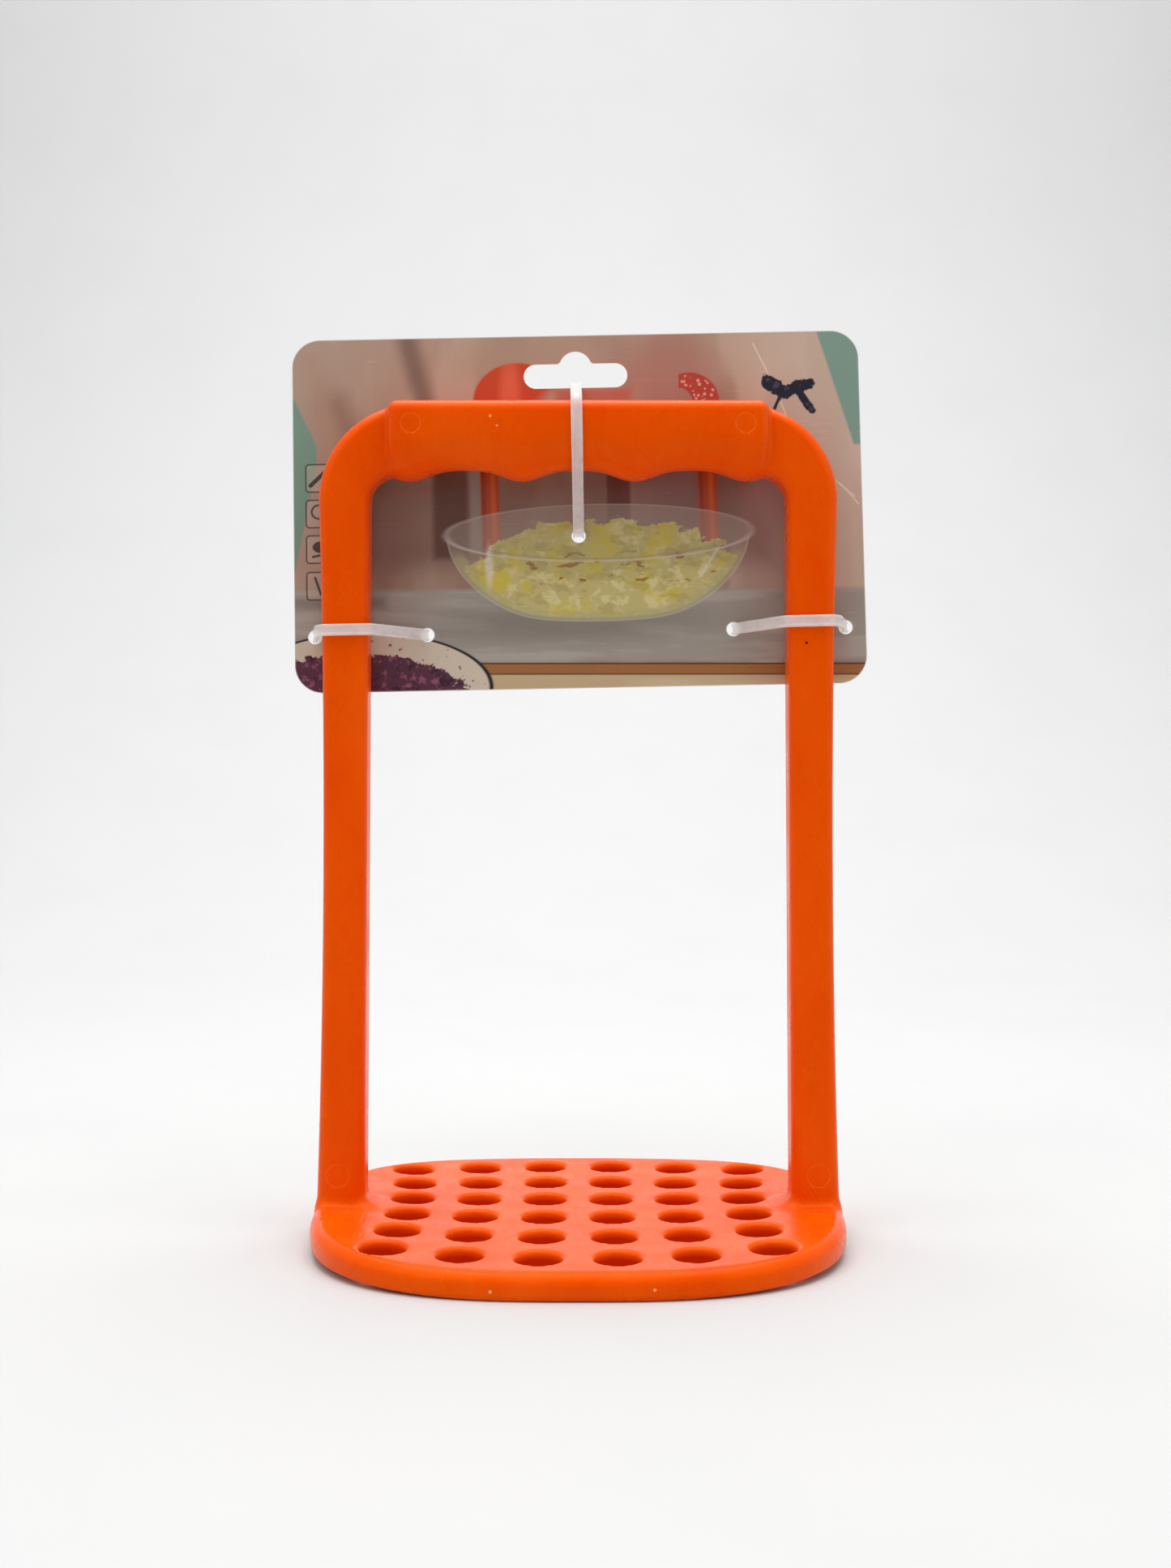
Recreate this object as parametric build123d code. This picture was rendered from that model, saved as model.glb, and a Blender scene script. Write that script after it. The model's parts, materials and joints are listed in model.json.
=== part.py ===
from build123d import *
from math import asin, atan2, cos, hypot, pi, radians, sin, tan
import os

# A perforated hand masher that stands on its press plate, with the retail card tied to it.
# Millimetres. +Z is up, -Y is the front, and the origin is on the surface that it stands on,
# under the middle of the plate. The masher is one moulding, written as four solids that meet
# face to face: a press plate, two arms and a grip.

# Press plate
plate_half_width = 55.5
plate_half_depth = 46.0
plate_squareness = 2.8
plate_thickness = 5.3
plate_flat_half = 12.0
plate_arch_radius = 560.0
plate_top_edge = 2.0
plate_bottom_edge = 0.8
outline_points = 32

# Perforations: a six by six grid, pinched in at the middle rows and at the side columns
holes_each_way = 6
hole_diameter = 9.1
hole_lip = 0.8
column_pitch = 15.2
row_pitch = 14.27
column_pinch = 0.063
row_pinch = 0.138

# Arms
arm_depth = 9.5
arm_foot_outer = 55.0
arm_foot_inner = 45.0
arm_waist_outer = 53.8
arm_waist_height = 85.0
arm_inner = 44.1
arm_edge = 2.2
bend_centre_x = 34.3
bend_height = 155.2
outer_bend = 20.4
inner_bend = 5.5
foot_flare = 4.4
foot_land = 0.9

# Grip
grip_half_length = 39.8
grip_depth = 15.5
grip_top = 175.7
grip_bottom = 160.8
groove_pitch = 24.0
groove_count = 3
groove_rise = 1.15
groove_steps = 6
grip_top_edge = 2.3
grip_end_edge = 1.3

# Retail card, leaning back against the grip and turned a little anticlockwise
card_width = 123.5
card_height = 77.3
card_thickness = 0.5
card_corner = 6.1
card_lean = 3.2
card_turn = 1.1
card_centre_height = 154.5
card_gap = 0.3
slot_length = 22.6
slot_height = 5.4
slot_rise = 29.7
slot_bump_radius = 3.5
slot_bump_top = 35.1
tie_hole_diameter = 3.0
side_hole_outer = 57.3
side_hole_inner = 33.1
side_hole_rise = -26.5
middle_hole_rise = -5.5

# Cable ties
strap_width = 2.4
strap_thickness = 1.0
strap_gap = 0.2
strap_corner = 0.3
head_length = 4.8
head_width = 4.4
head_height = 3.4
head_edge = 0.5
tail_length = 3.0
head_rise = 11.0

plate_edge_rise = (plate_half_width - plate_flat_half) ** 2 / (2 * plate_arch_radius)
lean = radians(card_lean)
card_centre_y = arm_depth / 2 + card_gap + card_height / 2 * sin(lean)
# The card's own frame: X along the card, Y up the card and Z out of its front face.
card_place = Pos(0, card_centre_y, card_centre_height) * Rot(90 - card_lean, 0, 0) * Rot(0, 0, card_turn)
strap_back = -card_thickness - strap_gap


def plate_rise(x):
    """How far the arched plate is off the surface, this far from its middle."""
    beyond = max(0.0, abs(x) - plate_flat_half)
    return beyond**2 / (2 * plate_arch_radius)


def outline_point(angle):
    """A point of the plate's superellipse outline."""
    power = 2 / plate_squareness
    x = abs(cos(angle)) ** power
    y = abs(sin(angle)) ** power
    return (
        plate_half_width * (x if cos(angle) >= 0 else -x),
        plate_half_depth * (y if sin(angle) >= 0 else -y),
    )


def arched_slab():
    """The plate's thickness, flat in the middle and curling up towards both sides."""
    end = plate_half_width + 2
    middle = (plate_flat_half + end) / 2
    with BuildSketch(Plane.XZ) as section:
        with BuildLine():
            for base in (0, plate_thickness):
                Line((-plate_flat_half, base), (plate_flat_half, base))
                for side in (-1, 1):
                    ThreePointArc(
                        (side * plate_flat_half, base),
                        (side * middle, base + plate_rise(middle)),
                        (side * end, base + plate_rise(end)),
                    )
            for side in (-end, end):
                Line((side, plate_rise(end)), (side, plate_thickness + plate_rise(end)))
        make_face()
    return extrude(section.sketch, amount=plate_half_depth + 2, both=True)


def hole_centres():
    middle = (holes_each_way - 1) / 2
    for i in range(holes_each_way):
        for j in range(holes_each_way):
            u = (i - middle) / middle
            v = (j - middle) / middle
            x = middle * u * column_pitch * (1 - column_pinch * (1 - v * v))
            y = middle * v * row_pitch * (1 - row_pinch * u * u)
            yield x, y


def rim_edges(plate, low, high):
    """The plate's outer edges that lie between two heights, without the arch's seams."""
    return [
        edge
        for edge in plate.edges()
        if edge.bounding_box().min.Z > low
        and edge.bounding_box().max.Z < high
        and hypot(edge.center().X / plate_half_width, edge.center().Y / plate_half_depth) > 0.8
    ]


def make_plate():
    points = [outline_point(2 * pi * k / outline_points) for k in range(outline_points)]
    with BuildSketch() as outline:
        with BuildLine():
            Spline(*points, periodic=True)
        make_face()
    tall = extrude(outline.sketch, amount=plate_thickness + plate_edge_rise + 2)
    plate = (arched_slab() & (Pos(0, 0, -1) * tall)).solid()
    highest = plate_thickness + plate_edge_rise + 1
    plate = fillet(rim_edges(plate, plate_thickness - 0.1, highest), plate_top_edge)
    plate = fillet(rim_edges(plate, -0.1, plate_edge_rise + 0.1), plate_bottom_edge)
    lip = Cone(
        hole_diameter / 2,
        hole_diameter / 2 + 2 * hole_lip,
        2 * hole_lip,
        align=(Align.CENTER, Align.CENTER, Align.MIN),
    )
    drill = Cylinder(hole_diameter / 2, 4 * plate_thickness)
    drill = drill + Pos(0, 0, plate_thickness - hole_lip) * lip
    for x, y in hole_centres():
        plate = (plate - Pos(x, y, plate_rise(x)) * drill).solid()
    return plate


def grip_section(x, bottom, inset):
    """A cross-section of the grip: rounded top edges, flat sides and a half-round underside."""
    half = grip_depth / 2 - inset
    top = grip_top - inset
    low = bottom + inset
    edge = grip_top_edge
    slant = edge * (1 - cos(pi / 4))
    with BuildSketch(Plane.YZ.offset(x)) as section:
        with BuildLine():
            ThreePointArc((half, low + half), (0, low), (-half, low + half))
            Line((-half, low + half), (-half, top - edge))
            ThreePointArc((-half, top - edge), (slant - half, top - slant), (edge - half, top))
            Line((edge - half, top), (half - edge, top))
            ThreePointArc((half - edge, top), (half - slant, top - slant), (half, top - edge))
            Line((half, top - edge), (half, low + half))
        make_face()
    return section.sketch


def make_grip():
    """Three finger grooves under a straight bar with rounded ends."""
    last = groove_count * groove_steps // 2
    stations = []
    for k in range(-last, last + 1):
        bottom = grip_bottom + groove_rise * cos(2 * pi * k / groove_steps)
        stations.append((groove_pitch * k / groove_steps, bottom, 0))
    low = grip_bottom - groove_rise
    slant = grip_end_edge * (1 - cos(pi / 4))
    for back, inset in ((grip_end_edge, 0), (slant, slant), (0, grip_end_edge)):
        end = grip_half_length - back
        stations.insert(0, (-end, low, inset))
        stations.append((end, low, inset))
    return loft([grip_section(*station) for station in stations])


def make_arm():
    """The right arm, from inside the plate's edge up and round to inside the grip's end."""
    root = plate_thickness / 2
    land = plate_rise(arm_foot_inner) + plate_thickness + foot_land
    bend_x = bend_centre_x + outer_bend
    inside = grip_half_length - 3
    reach = asin((inside - bend_centre_x) / outer_bend)
    meet = bend_height + outer_bend * cos(reach)
    halfway = (reach + pi / 2) / 2
    inner_top = bend_height + inner_bend
    turn_x = arm_inner - inner_bend
    flare_x = arm_foot_inner - foot_flare
    flare_mid = foot_flare * (1 - cos(pi / 4))
    inner_mid = inner_bend * (1 - cos(pi / 4))
    with BuildSketch(Plane.XZ) as front:
        with BuildLine():
            Line((flare_x, root), (arm_foot_outer, root))
            ThreePointArc(
                (arm_foot_outer, root), (arm_waist_outer, arm_waist_height), (bend_x, bend_height)
            )
            ThreePointArc(
                (bend_x, bend_height),
                (bend_centre_x + outer_bend * sin(halfway), bend_height + outer_bend * cos(halfway)),
                (inside, meet),
            )
            Line((inside, meet), (inside, inner_top))
            Line((inside, inner_top), (turn_x, inner_top))
            ThreePointArc(
                (turn_x, inner_top),
                (arm_inner - inner_mid, inner_top - inner_mid),
                (arm_inner, bend_height),
            )
            Line((arm_inner, bend_height), (arm_foot_inner, land + foot_flare))
            ThreePointArc(
                (arm_foot_inner, land + foot_flare),
                (arm_foot_inner - flare_mid, land + flare_mid),
                (flare_x, land),
            )
            Line((flare_x, land), (flare_x, root))
        make_face()
    arm = extrude(front.sketch, amount=arm_depth / 2, both=True)
    long_edges = [
        e
        for e in arm.edges()
        if abs(abs(e.center().Y) - arm_depth / 2) < 0.01
        and e.length > foot_flare
        and e.center().Z > land
        and e.center().X > inside + 0.1
    ]
    return fillet(long_edges, arm_edge)


def make_card():
    with BuildSketch() as blank:
        RectangleRounded(card_width, card_height, card_corner)
        with Locations((0, slot_rise)):
            SlotOverall(slot_length, slot_height, mode=Mode.SUBTRACT)
        with Locations((0, slot_bump_top - slot_bump_radius)):
            Circle(slot_bump_radius, mode=Mode.SUBTRACT)
        for x in (-side_hole_outer, -side_hole_inner, side_hole_inner, side_hole_outer):
            with Locations((x, side_hole_rise)):
                Circle(tie_hole_diameter / 2, mode=Mode.SUBTRACT)
        with Locations((0, middle_hole_rise)):
            Circle(tie_hole_diameter / 2, mode=Mode.SUBTRACT)
    return card_place * extrude(blank.sketch, amount=-card_thickness)


def make_tie(plane, corners, radii, head_at):
    """A closed strap round its inner corners, with its head and cut tail behind the card.

    The plane is one of the card's own frame that holds the loop, and its Y is out of the card's
    front. The head sits at this place along the plane's X."""
    with BuildSketch(plane) as band:
        with BuildLine():
            FilletPolyline(*corners, radius=radii, close=True)
        make_face()
    inner = band.sketch
    outer = offset(inner, strap_thickness)
    strap = extrude(outer - inner, amount=strap_width / 2, both=True)
    head_place = plane * Pos(head_at, strap_back - head_height / 2, 0)
    head = Box(head_length, head_height, head_width)
    head = head_place * fillet(head.edges(), head_edge)
    tail_place = plane * Pos(
        head_at + (head_length + tail_length) / 2 - head_edge,
        strap_back - 1.6 * strap_thickness,
        0,
    )
    tail = tail_place * Box(tail_length + head_edge, strap_thickness, strap_width)
    return card_place * (strap + head + tail)


def make_side_tie(side):
    """Round one arm, through the two holes beside it."""
    front = (card_centre_y + side_hole_rise * sin(lean) + arm_depth / 2) * cos(lean) + strap_gap
    shift = side_hole_rise * sin(radians(card_turn))
    arm_middle = (arm_waist_outer + arm_inner) / 2 + side * shift
    arm_half = (arm_waist_outer - arm_inner) / 2 + strap_gap + 0.3
    outer_x = side_hole_outer - strap_thickness / 2
    inner_x = side_hole_inner + strap_thickness / 2
    corners = [
        (side * outer_x, strap_back),
        (side * outer_x, strap_gap),
        (side * (arm_middle + arm_half), front),
        (side * (arm_middle - arm_half), front),
        (side * inner_x, strap_gap),
        (side * inner_x, strap_back),
    ]
    radii = [strap_corner, strap_corner, arm_edge, arm_edge, strap_corner, strap_corner]
    plane = Plane(origin=(0, side_hole_rise, 0), x_dir=(1, 0, 0), z_dir=(0, -1, 0))
    head_at = side * (side_hole_outer + side_hole_inner) / 2
    return make_tie(plane, corners, radii, head_at)


def make_centre_tie():
    """Round the grip, down from the hang slot and back through the middle hole."""
    round_radius = grip_depth / 2 + strap_gap
    round_height = grip_bottom + groove_rise + grip_depth / 2
    front_y = -round_radius
    hole = (card_place * Pos(0, middle_hole_rise + strap_thickness / 2, strap_gap)).position
    away = hypot(hole.Y, round_height - hole.Z)
    slope = atan2(hole.Y, round_height - hole.Z) + asin(round_radius / away)
    meet_z = hole.Z + (hole.Y - front_y) / tan(slope)
    slot_y = slot_rise - slot_height / 2 + strap_gap

    def on_card(y, z):
        back = y - card_centre_y
        up = z - card_centre_height
        return back * sin(lean) + up * cos(lean), up * sin(lean) - back * cos(lean)

    corners = [
        (middle_hole_rise + strap_thickness / 2, strap_back),
        (middle_hole_rise + strap_thickness / 2, strap_gap),
        on_card(front_y, meet_z),
        on_card(front_y, grip_top + strap_gap),
        (slot_y, strap_gap),
        (slot_y, strap_back),
    ]
    radii = [strap_corner, strap_corner, round_radius, grip_top_edge, strap_corner, strap_corner]
    plane = Plane(origin=(0, 0, 0), x_dir=(0, 1, 0), z_dir=(1, 0, 0))
    return make_tie(plane, corners, radii, head_rise)


grip = make_grip()
press_plate = make_plate()
right_arm = (make_arm() - grip - press_plate).solid()

parts = {
    "press_plate": press_plate,
    "right_arm": right_arm,
    "left_arm": mirror(right_arm, about=Plane.YZ),
    "grip": grip,
    "hang_card": make_card(),
    "centre_tie": make_centre_tie(),
    "right_tie": make_side_tie(1),
    "left_tie": make_side_tie(-1),
}
os.makedirs("parts", exist_ok=True)
for name, solid in parts.items():
    export_step(solid, f"parts/{name}.step")
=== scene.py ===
import json
from math import asin, atan2, cos, hypot, pi, radians, sin, tan

import bmesh
import bpy
import numpy as np
from mathutils import Matrix, Vector

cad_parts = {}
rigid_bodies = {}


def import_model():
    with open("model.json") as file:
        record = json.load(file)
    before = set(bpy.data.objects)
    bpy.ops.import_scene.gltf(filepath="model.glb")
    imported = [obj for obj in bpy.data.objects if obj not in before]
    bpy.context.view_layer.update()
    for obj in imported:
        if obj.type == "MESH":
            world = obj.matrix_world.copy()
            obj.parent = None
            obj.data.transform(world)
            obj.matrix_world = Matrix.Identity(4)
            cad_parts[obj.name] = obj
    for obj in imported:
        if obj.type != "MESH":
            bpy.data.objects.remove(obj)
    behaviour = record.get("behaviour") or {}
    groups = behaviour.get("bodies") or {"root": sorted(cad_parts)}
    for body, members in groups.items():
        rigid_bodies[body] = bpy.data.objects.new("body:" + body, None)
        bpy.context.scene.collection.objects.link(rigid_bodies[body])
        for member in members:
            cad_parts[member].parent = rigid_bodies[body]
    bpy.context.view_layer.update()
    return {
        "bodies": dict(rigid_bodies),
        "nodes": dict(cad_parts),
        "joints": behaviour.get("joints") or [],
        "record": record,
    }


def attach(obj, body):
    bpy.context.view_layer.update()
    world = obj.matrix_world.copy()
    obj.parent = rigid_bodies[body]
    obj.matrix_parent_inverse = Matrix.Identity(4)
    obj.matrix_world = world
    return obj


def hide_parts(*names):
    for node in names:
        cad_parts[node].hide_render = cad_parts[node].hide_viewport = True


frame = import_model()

# A potato masher moulded in one piece, tied to its printed card with three nylon cable ties.
# Everything is worked out in millimetres and written to the meshes in metres.
MM = 0.001

# The masher: the CAD's sizes, with softer edges and with feet flush with the plate
PLATE_HALF = (55.48, 45.98)
PLATE_POWER = 2.8
PLATE_THICK = 5.3
PLATE_FLAT = 12.0
PLATE_ARCH = 560.0
PLATE_TOP_EDGE = 2.6
PLATE_LOW_EDGE = 0.9
HOLES = 6
HOLE_RADIUS = 4.55
HOLE_LIP = 0.95
COLUMN_PITCH, COLUMN_PINCH = 15.2, 0.063
ROW_PITCH, ROW_PINCH = 14.27, 0.138
ARM_DEPTH = 9.5
ARM_EDGE = 2.4
ARM_WAIST = (53.75, 90.0)
ARM_FOOT_OUT, ARM_TOP_OUT = 55.35, 54.7
ARM_IN_LOW, ARM_IN_HIGH = 45.0, 44.1
BEND_X, BEND_Z = 34.3, 155.2
BEND_OUT, BEND_IN = 20.4, 5.5
FOOT_FILLET_IN, FOOT_FILLET_FRONT = 4.8, 2.2
GRIP_HALF = 39.8
GRIP_DEPTH = 15.5
GRIP_TOP = 175.7
GRIP_LOW = 160.8
GROOVE_PITCH, GROOVE_RISE = 24.0, 1.15
GRIP_EDGE, GRIP_END = 2.4, 1.9
GRIP_JOIN = 1.0
# Each ejector-pin mark's place and radius
PIN_MARKS = [(side * 34.9, -GRIP_DEPTH / 2, 170.6, 2.05) for side in (-1, 1)]
PIN_MARKS += [(side * 50.5, -ARM_DEPTH / 2, 13.2, 2.4) for side in (-1, 1)]

PIN_DISC, PIN_GROOVE = 0.04, 0.05

# The card and its ties, in the card's own frame: X along it, Y up it, Z out of its front face
CARD_SIZE = (123.5, 77.3)
CARD_THICK = 0.5
CARD_CORNER = 6.1
CARD_LEAN, CARD_TURN = 3.2, 1.1
CARD_HEIGHT = 154.5
CARD_BACK = ARM_DEPTH / 2 + 0.3 + CARD_SIZE[1] / 2 * sin(radians(CARD_LEAN))
CARD_WAVE = 0.06
# The hang slot's length, height and middle, then its bump's middle and radius
SLOT = (22.6, 5.4, 29.7)
SLOT_BUMP = (31.6, 3.5)
HOLE_R = 1.5
SIDE_HOLES = (33.1, 57.3)
SIDE_RISE, MIDDLE_RISE = -26.5, -5.5
STRAP = (2.4, 1.0)
STRAP_GAP = 0.2
STRAP_CORNER = 0.3
STRAP_BACK = -0.7
STRAP_TOOTH = 0.1
HEAD = (4.8, 3.4, 4.4)
HEAD_EDGE = 0.45
CENTRE_HEAD_RISE = 11.0
TAIL = 3.0

# How finely the meshes are cut
MASHER_CELL, CARD_CELL, STRAP_STEP, HEAD_CELL = 0.75, 0.45, 0.45, 0.24


# Shapes as signed distances: below zero is inside


def joined(a, b, radius):
    """Both shapes, with a fillet between them."""
    near = np.hypot(np.maximum(radius - a, 0), np.maximum(radius - b, 0))
    return np.maximum(radius, np.minimum(a, b)) - near


def common(a, b, radius):
    """What both shapes share, with a rounded edge."""
    near = np.hypot(np.maximum(radius + a, 0), np.maximum(radius + b, 0))
    return np.minimum(-radius, np.maximum(a, b)) + near


def plate_rise(x):
    """How far the arch lifts the plate, beyond its flat middle."""
    beyond = np.maximum(0, np.abs(x) - PLATE_FLAT)
    return beyond**2 / (2 * PLATE_ARCH)


def hole_centres():
    """The holes' places: the outer rows and columns draw in towards the corners."""
    middle = (HOLES - 1) / 2
    for i in range(HOLES):
        for j in range(HOLES):
            u, v = (i - middle) / middle, (j - middle) / middle
            x = middle * u * COLUMN_PITCH * (1 - COLUMN_PINCH * (1 - v * v))
            y = middle * v * ROW_PITCH * (1 - ROW_PINCH * u * u)
            yield x, y


def outline(x, y):
    """The plate's superellipse wall."""
    a, b, n = *PLATE_HALF, PLATE_POWER
    p, q = np.abs(x / a) + 1e-6, np.abs(y / b) + 1e-6
    rho = (p**n + q**n) ** (1 / n)
    slope = rho ** (1 - n) * np.hypot(p ** (n - 1) / a, q ** (n - 1) / b)
    return (rho - 1) / slope


def plate(x, y, z, wall):
    """The press plate, arched, with its holes."""
    rise = plate_rise(x)
    slab = common(wall, z - PLATE_THICK - rise, PLATE_TOP_EDGE)
    slab = common(slab, rise - z, PLATE_LOW_EDGE)
    hole = np.full(x.shape, 1e3)
    for hx, hy in hole_centres():
        hole = np.minimum(hole, np.hypot(x - hx, y - hy))
    return common(slab, HOLE_RADIUS - hole, HOLE_LIP)


def arm(x, y, z):
    """Both arms: waisted bars, bent over at the top into the grip."""
    x = np.abs(x)
    waist, waist_z = ARM_WAIST
    end = np.where(z < waist_z, ARM_FOOT_OUT, ARM_TOP_OUT) - waist
    span = np.where(z < waist_z, waist_z, BEND_Z - waist_z)
    side_out = x - waist - end * ((z - waist_z) / span) ** 2
    side_in = ARM_IN_LOW + (ARM_IN_HIGH - ARM_IN_LOW) * z / BEND_Z - x
    turn_x = ARM_IN_HIGH - BEND_IN
    bend_out = np.hypot(x - BEND_X, z - BEND_Z) - BEND_OUT
    bend_in = np.where(
        x > turn_x, BEND_IN - np.hypot(x - turn_x, z - BEND_Z), BEND_Z + BEND_IN - z
    )
    below = z < BEND_Z
    front = np.maximum(np.where(below, side_out, bend_out), np.where(below, side_in, bend_in))
    front = np.maximum(front, GRIP_HALF - 2.5 - x)
    bar = common(front, np.abs(y) - ARM_DEPTH / 2, ARM_EDGE)
    return np.maximum(bar, PLATE_THICK / 2 - z)


def grip(x, y, z):
    """The bar: flat above and round below, with finger bumps."""
    phase = 2 * pi * x / GROOVE_PITCH
    wave = np.cos(phase) - 0.2 * np.cos(2 * phase) + 0.2
    half = GRIP_DEPTH / 2
    centre = GRIP_LOW + GROOVE_RISE * wave + half
    upper = common(np.abs(y) - half, z - GRIP_TOP, GRIP_EDGE)
    section = np.where(z < centre, np.hypot(y, z - centre) - half, upper)
    return common(section, np.abs(x) - GRIP_HALF, GRIP_END)


def masher(p):
    """The whole moulding, at points in rows."""
    x, y, z = p[:, 0], p[:, 1], p[:, 2]
    d = np.full(x.shape, 50.0)
    on_arm = np.abs(x) > 33
    d[on_arm] = arm(x[on_arm], y[on_arm], z[on_arm])
    low = z < 20
    if low.any():
        wall = outline(x[low], y[low])
        fillet = np.interp(np.abs(x[low]), (42.5, 46.5), (FOOT_FILLET_IN, FOOT_FILLET_FRONT))
        foot = joined(d[low], plate(x[low], y[low], z[low], wall), fillet)
        d[low] = np.maximum(foot, wall)
    high = z > 150
    if high.any():
        d[high] = joined(d[high], grip(x[high], y[high], z[high]), GRIP_JOIN)
    return d


# Meshes from signed distances


def surface_net(shape, low, high, cell):
    """A closed quad mesh of a signed distance, with its points moved exactly onto the surface."""
    low, high = np.array(low, float), np.array(high, float)
    count = np.ceil((high - low) / cell).astype(int) + 1
    axes = [low[k] + cell * np.arange(count[k]) for k in range(3)]
    values = np.empty(count)
    flat = np.stack(np.meshgrid(axes[0], axes[1], indexing="ij"), -1).reshape(-1, 2)
    for k, z in enumerate(axes[2]):
        layer = np.column_stack([flat, np.full(len(flat), z)])
        values[:, :, k] = shape(layer).reshape(count[:2])
    cells, points, quads = [], [], []
    for axis in range(3):
        before = np.moveaxis(np.moveaxis(values, axis, 0)[:-1], 0, axis)
        after = np.moveaxis(np.moveaxis(values, axis, 0)[1:], 0, axis)
        index = np.argwhere((before < 0) != (after < 0))
        a, b = before[tuple(index.T)], after[tuple(index.T)]
        crossing = index.astype(float)
        crossing[:, axis] += a / (a - b)
        corners = []
        for du, dv in ((-1, -1), (0, -1), (0, 0), (-1, 0)):
            corner = index.copy()
            corner[:, (axis + 1) % 3] += du
            corner[:, (axis + 2) % 3] += dv
            corners.append(np.ravel_multi_index(corner.T, count))
            points.append(crossing)
        quad = np.stack(corners, 1)
        cells.append(quad.T.ravel())
        quads.append(np.where((a < 0)[:, None], quad, quad[:, ::-1]))
    names, place = np.unique(np.concatenate(cells), return_inverse=True)
    total = np.bincount(place)
    spots = np.concatenate(points)
    verts = np.stack([np.bincount(place, spots[:, k]) / total for k in range(3)], 1)
    verts = low + cell * verts
    for _ in range(4):
        slope = slope_of(shape, verts)
        move = slope * shape(verts)[:, None] / np.maximum((slope**2).sum(1, keepdims=True), 0.05)
        length = np.linalg.norm(move, axis=1, keepdims=True)
        verts -= move * np.minimum(1, 0.4 * cell / np.maximum(length, 1e-9))
    return verts, np.searchsorted(names, np.concatenate(quads))


def slope_of(shape, verts):
    """The way in which the distance grows fastest at each point."""
    tiny = 0.02
    slope = np.empty_like(verts)
    for k in range(3):
        shift = np.zeros(3)
        shift[k] = tiny
        slope[:, k] = (shape(verts + shift) - shape(verts - shift)) / (2 * tiny)
    return slope


# Materials: formulas of a point's place, in millimetres, built as shader nodes


def tint(red, green, blue):
    """A colour given in 0-255 display values."""
    levels = [c / 255 for c in (red, green, blue)]
    return (*[c / 12.92 if c < 0.04 else ((c + 0.055) / 1.055) ** 2.4 for c in levels], 1)


class Field:
    """A number that shader nodes work out at each point of a surface."""

    def __init__(self, look, socket):
        self.look, self.socket = look, socket

    def __add__(self, other):
        return self.look.math("ADD", self, other)

    def __sub__(self, other):
        return self.look.math("SUBTRACT", self, other)

    def __rsub__(self, other):
        return self.look.math("SUBTRACT", other, self)

    def __mul__(self, other):
        return self.look.math("MULTIPLY", self, other)

    def __truediv__(self, other):
        return self.look.math("DIVIDE", self, other)

    def __abs__(self):
        return self.look.math("ABSOLUTE", self)

    __radd__ = __add__
    __rmul__ = __mul__


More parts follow.
